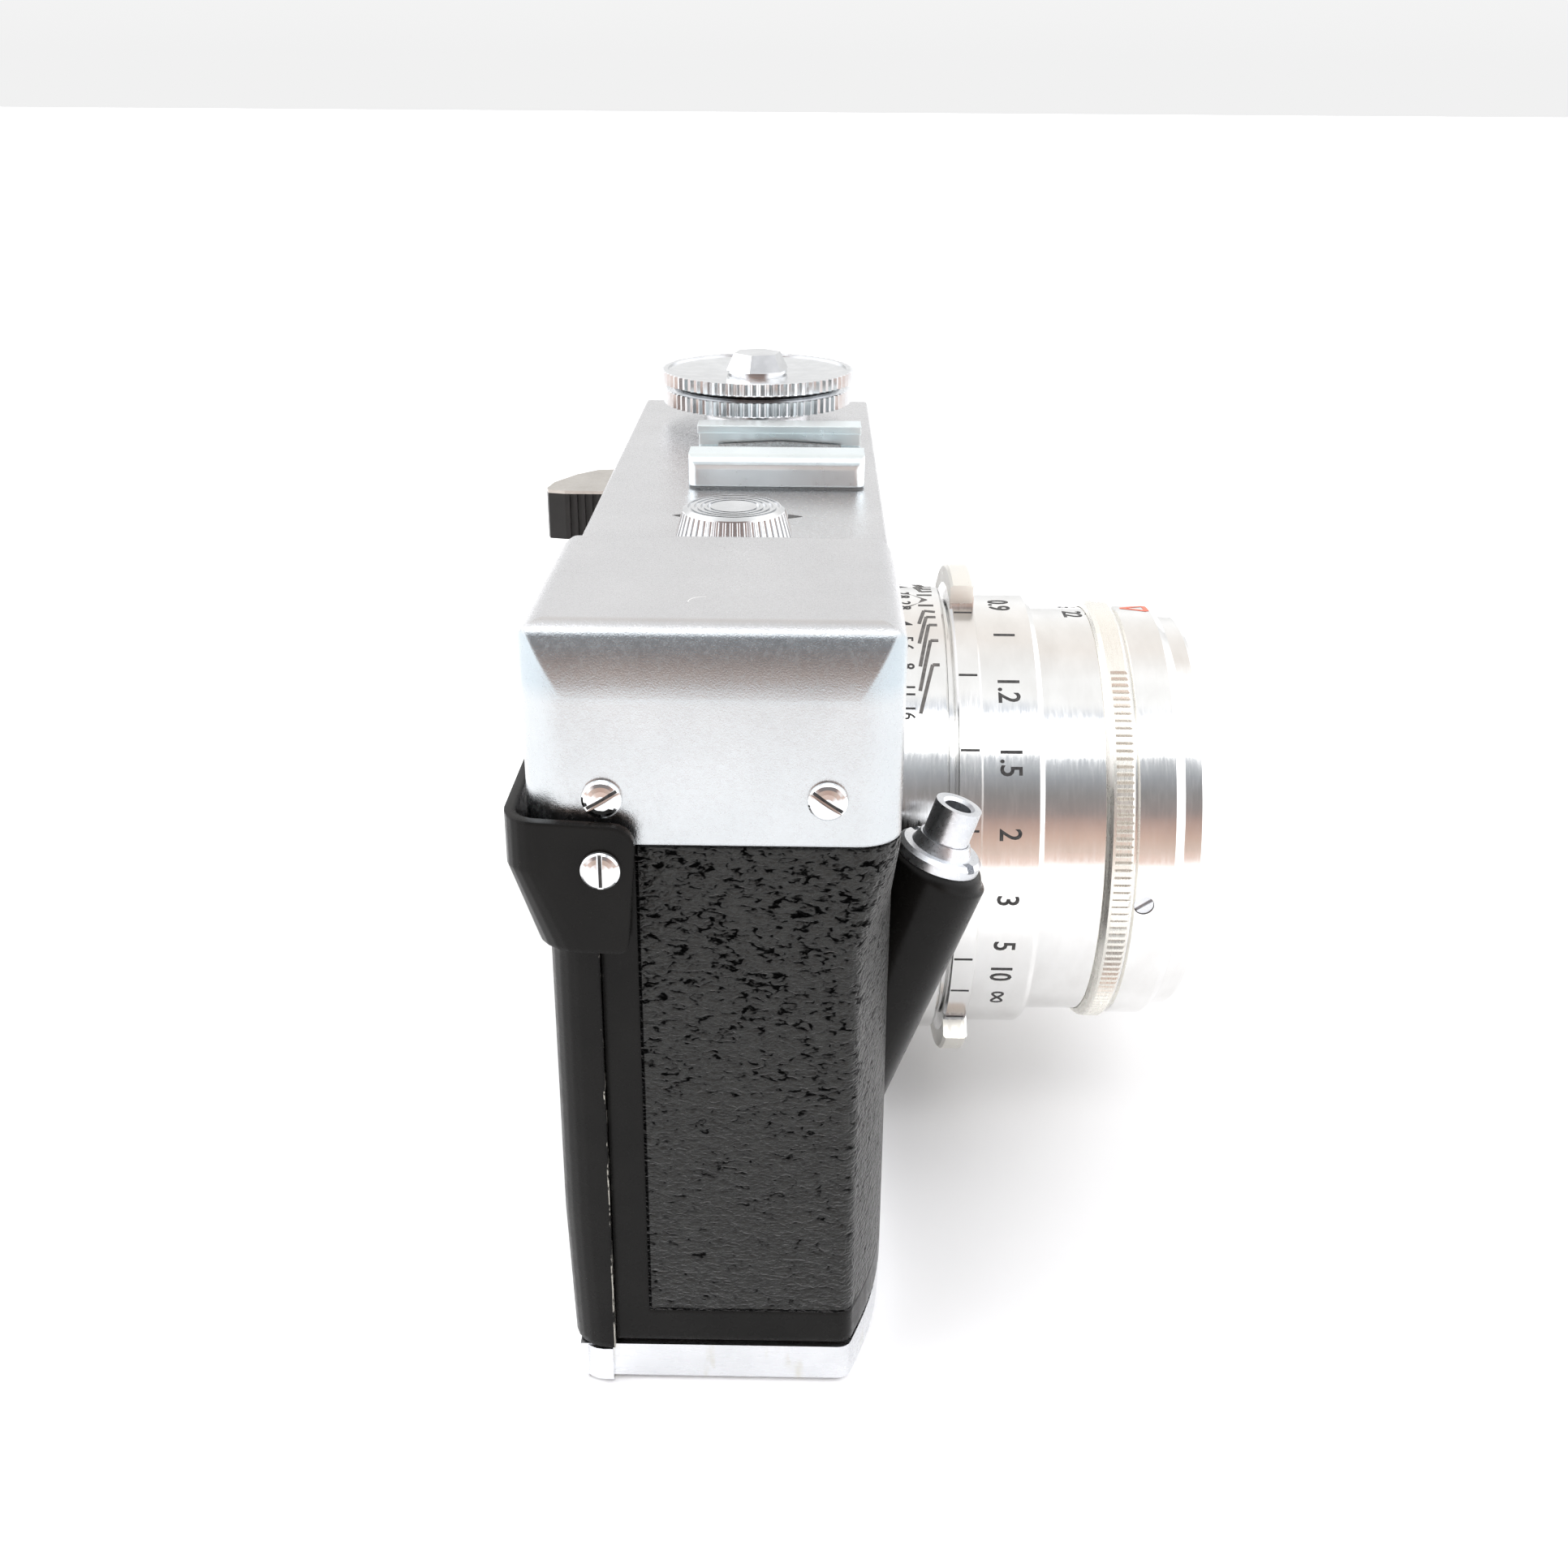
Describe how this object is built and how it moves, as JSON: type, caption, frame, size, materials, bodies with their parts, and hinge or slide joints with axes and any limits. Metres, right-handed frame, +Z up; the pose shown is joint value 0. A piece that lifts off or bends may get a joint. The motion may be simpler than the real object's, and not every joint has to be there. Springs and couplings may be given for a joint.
{
  "type": "viewfinder film camera",
  "caption": "Compact 35 mm viewfinder film camera with a lever wind, top dials, an accessory shoe, a slanted front release, a hinged back and a focusing lens.",
  "frame": {"origin": "mouth of the tripod socket, in the plane of the base", "axes": "+X along the body towards the viewer's left hand, -Y out of the lens, +Z up"},
  "size_m": [0.1302, 0.078, 0.0848],
  "materials": {
    "satin_chrome": "satin",
    "bright_chrome": "polished",
    "steel": "satin",
    "lens_aluminium": "satin",
    "black_lacquer": "semi-gloss",
    "leatherette": "grained",
    "black_plastic": "satin",
    "flock_black": "matt",
    "black_anodised": "satin",
    "glass": "coated",
    "blade_steel": "matt"
  },
  "bodies": {
    "body": {"body_shell": "black_lacquer", "light_box": "flock_black", "leather_right": "leatherette", "leather_left": "leatherette", "bottom_plate": "satin_chrome", "bottom_screws": "bright_chrome", "tripod_bush": "steel", "top_cover": "satin_chrome", "cover_screws": "bright_chrome", "finder_window": "glass", "finder_tube": "flock_black", "eyepiece_frame": "black_plastic", "eyepiece_lens": "glass", "accessory_shoe": "satin_chrome", "shoe_screws": "bright_chrome", "shoe_spring": "steel", "hinge_pin": "steel", "dial_boss": "steel", "release_housing": "black_lacquer", "release_bush": "bright_chrome", "release_spring": "steel", "lens_flange": "lens_aluminium", "flange_screws": "steel", "lens_base": "lens_aluminium"},
    "back": {"rear_door": "black_lacquer", "door_leather": "leatherette", "pressure_plate": "flock_black", "plate_spring": "steel"},
    "latch": {"latch_plate": "black_lacquer", "latch_screw": "bright_chrome"},
    "wind": {"wind_shaft": "steel", "wind_lever": "steel", "lever_tip": "black_plastic", "lever_cap": "steel", "dial_hub": "bright_chrome"},
    "lower_dial": {"lower_dial": "bright_chrome"},
    "upper_dial": {"upper_dial": "bright_chrome"},
    "spool": {"take_up_spool": "black_plastic"},
    "sprocket": {"sprocket": "steel"},
    "knob": {"knob": "bright_chrome", "knob_stem": "steel"},
    "rewind": {"rewind_fork": "steel", "rewind_key": "satin_chrome"},
    "bail": {"rewind_bail": "bright_chrome"},
    "release": {"release_button": "bright_chrome"},
    "focus": {"focus_ring": "lens_aluminium"},
    "head": {"barrel": "lens_aluminium", "lens_cell": "black_anodised", "front_element": "glass", "middle_element": "glass", "rear_element": "glass", "iris_blades": "blade_steel", "shutter_blades": "blade_steel", "shutter_case": "black_anodised"},
    "aperture": {"aperture_ring": "lens_aluminium", "front_ring": "lens_aluminium", "grub_screws": "steel"}
  },
  "joints": [
    {"name": "back_hinge", "type": "hinge", "parent": "body", "child": "back", "pos_m": [0.0612, 0.0132, 0.032], "axis": [0, 0, -1], "range_deg": [0, 100]},
    {"name": "latch_slide", "type": "slide", "parent": "back", "child": "latch", "axis": [0, 0, -1], "range_m": [0, 0.0025], "stiffness_N_per_m": 150, "springref_m": -0.002},
    {"name": "wind_lever_turn", "type": "hinge", "parent": "body", "child": "wind", "pos_m": [0.0464, -0.0005, 0.078], "axis": [0, 0, -1], "range_deg": [0, 76], "stiffness_Nm_per_rad": 0.01, "springref_deg": -17.19},
    {"name": "counter_dial_turn", "type": "hinge", "parent": "body", "child": "lower_dial", "pos_m": [0.0464, -0.0005, 0.078], "axis": [0, 0, 1], "continuous": true},
    {"name": "top_dial_turn", "type": "hinge", "parent": "body", "child": "upper_dial", "pos_m": [0.0464, -0.0005, 0.078], "axis": [0, 0, 1], "continuous": true},
    {"name": "spool_turn", "type": "hinge", "parent": "body", "child": "spool", "pos_m": [0.0464, -0.0005, 0.036], "axis": [0, 0, -1], "continuous": true},
    {"name": "sprocket_turn", "type": "hinge", "parent": "body", "child": "sprocket", "pos_m": [0.0292, 0.0031, 0.036], "axis": [0, 0, 1], "continuous": true},
    {"name": "knob_turn", "type": "hinge", "parent": "body", "child": "knob", "pos_m": [-0.0185, 0, 0.077], "axis": [0, 0, 1], "continuous": true},
    {"name": "rewind_turn", "type": "hinge", "parent": "body", "child": "rewind", "pos_m": [-0.0465, 0, 0.001], "axis": [0, 0, -1], "continuous": true},
    {"name": "bail_fold", "type": "hinge", "parent": "rewind", "child": "bail", "pos_m": [-0.0465, -0.0022, 0.0007], "axis": [-1, 0, 0], "range_deg": [0, 90]},
    {"name": "release_press", "type": "slide", "parent": "body", "child": "release", "axis": [0, 0.3173, -0.9483], "range_m": [0, 0.0025], "stiffness_N_per_m": 300, "springref_m": -0.002},
    {"name": "focus_turn", "type": "hinge", "parent": "body", "child": "focus", "pos_m": [0, -0.028, 0.036], "axis": [0, 1, 0], "range_deg": [0, 125]},
    {"name": "lens_travel", "type": "slide", "parent": "body", "child": "head", "axis": [0, 1, 0], "range_m": [0, 0.003]},
    {"name": "aperture_turn", "type": "hinge", "parent": "head", "child": "aperture", "pos_m": [0, -0.043, 0.036], "axis": [0, 1, 0], "range_deg": [0, 75]}
  ],
  "couplings": [
    {"joint": "spool_turn", "follows": "wind_lever_turn", "ratio": 3.63},
    {"joint": "sprocket_turn", "follows": "wind_lever_turn", "ratio": -4.8},
    {"joint": "counter_dial_turn", "follows": "wind_lever_turn", "ratio": -0.13},
    {"joint": "lens_travel", "follows": "focus_turn", "m_per_rad": 0.001375}
  ]
}
